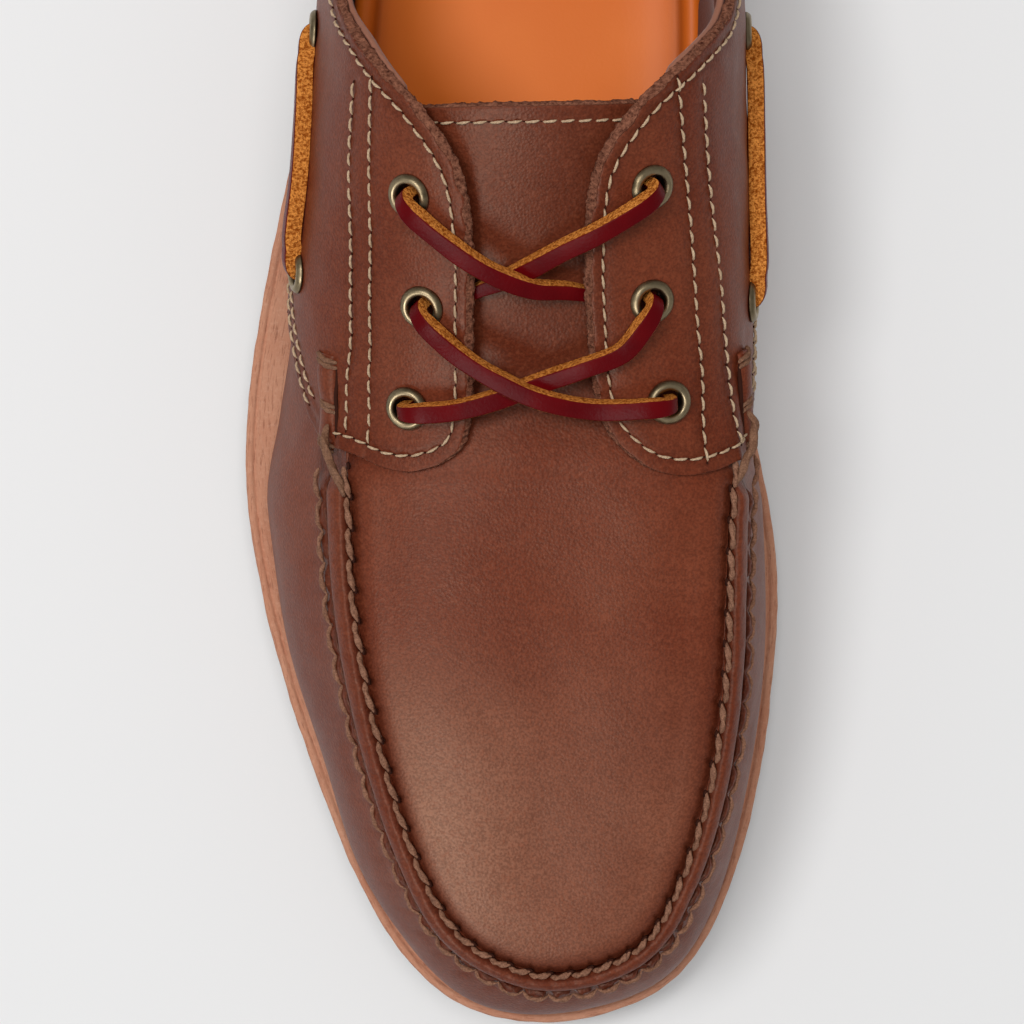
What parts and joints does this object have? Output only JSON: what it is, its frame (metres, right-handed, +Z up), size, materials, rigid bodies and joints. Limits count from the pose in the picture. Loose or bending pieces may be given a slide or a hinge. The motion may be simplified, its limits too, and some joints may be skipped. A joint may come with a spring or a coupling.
{
  "type": "boat shoe",
  "caption": "Right boat shoe: moccasin vamp with a raised apron seam, laced quarters, side laces, heel counter and a lugged sole.",
  "frame": {"origin": "middle of the shoe's length and width, on the floor that it stands on", "axes": "+Y from toe to heel, +X to the inner side of the foot, +Z up"},
  "size_m": [0.108, 0.2972, 0.0917],
  "materials": {
    "outsole_rubber": "moulded, matt dark brown",
    "midsole_strip": "tan edge, rough and fibrous with a groove along it",
    "footbed_leather": "smooth orange lining leather over a soft pad",
    "upper_leather": "oiled reddish brown full grain, matt to satin",
    "quarter_leather": "oiled reddish brown full grain with raw suede edges",
    "tongue_leather": "oiled reddish brown full grain",
    "eyelet_brass": "antiqued, satin",
    "rawhide_lace": "square cut lace, burgundy grain and orange suede edges"
  },
  "bodies": {
    "root": {"outsole": "outsole_rubber", "midsole": "midsole_strip", "footbed": "footbed_leather", "upper": "upper_leather", "tongue": "tongue_leather", "quarter_outer": "quarter_leather", "quarter_inner": "quarter_leather", "heel_counter": "quarter_leather", "eyelet_outer_top": "eyelet_brass", "eyelet_outer_middle": "eyelet_brass", "eyelet_outer_bottom": "eyelet_brass", "eyelet_inner_top": "eyelet_brass", "eyelet_inner_middle": "eyelet_brass", "eyelet_inner_bottom": "eyelet_brass", "eyelet_side_outer_front": "eyelet_brass", "eyelet_side_outer_rear": "eyelet_brass", "eyelet_side_inner_front": "eyelet_brass", "eyelet_side_inner_rear": "eyelet_brass", "lace_upper_cross": "rawhide_lace", "lace_lower_cross": "rawhide_lace", "lace_side_outer": "rawhide_lace", "lace_side_inner": "rawhide_lace"}
  },
  "joints": []
}
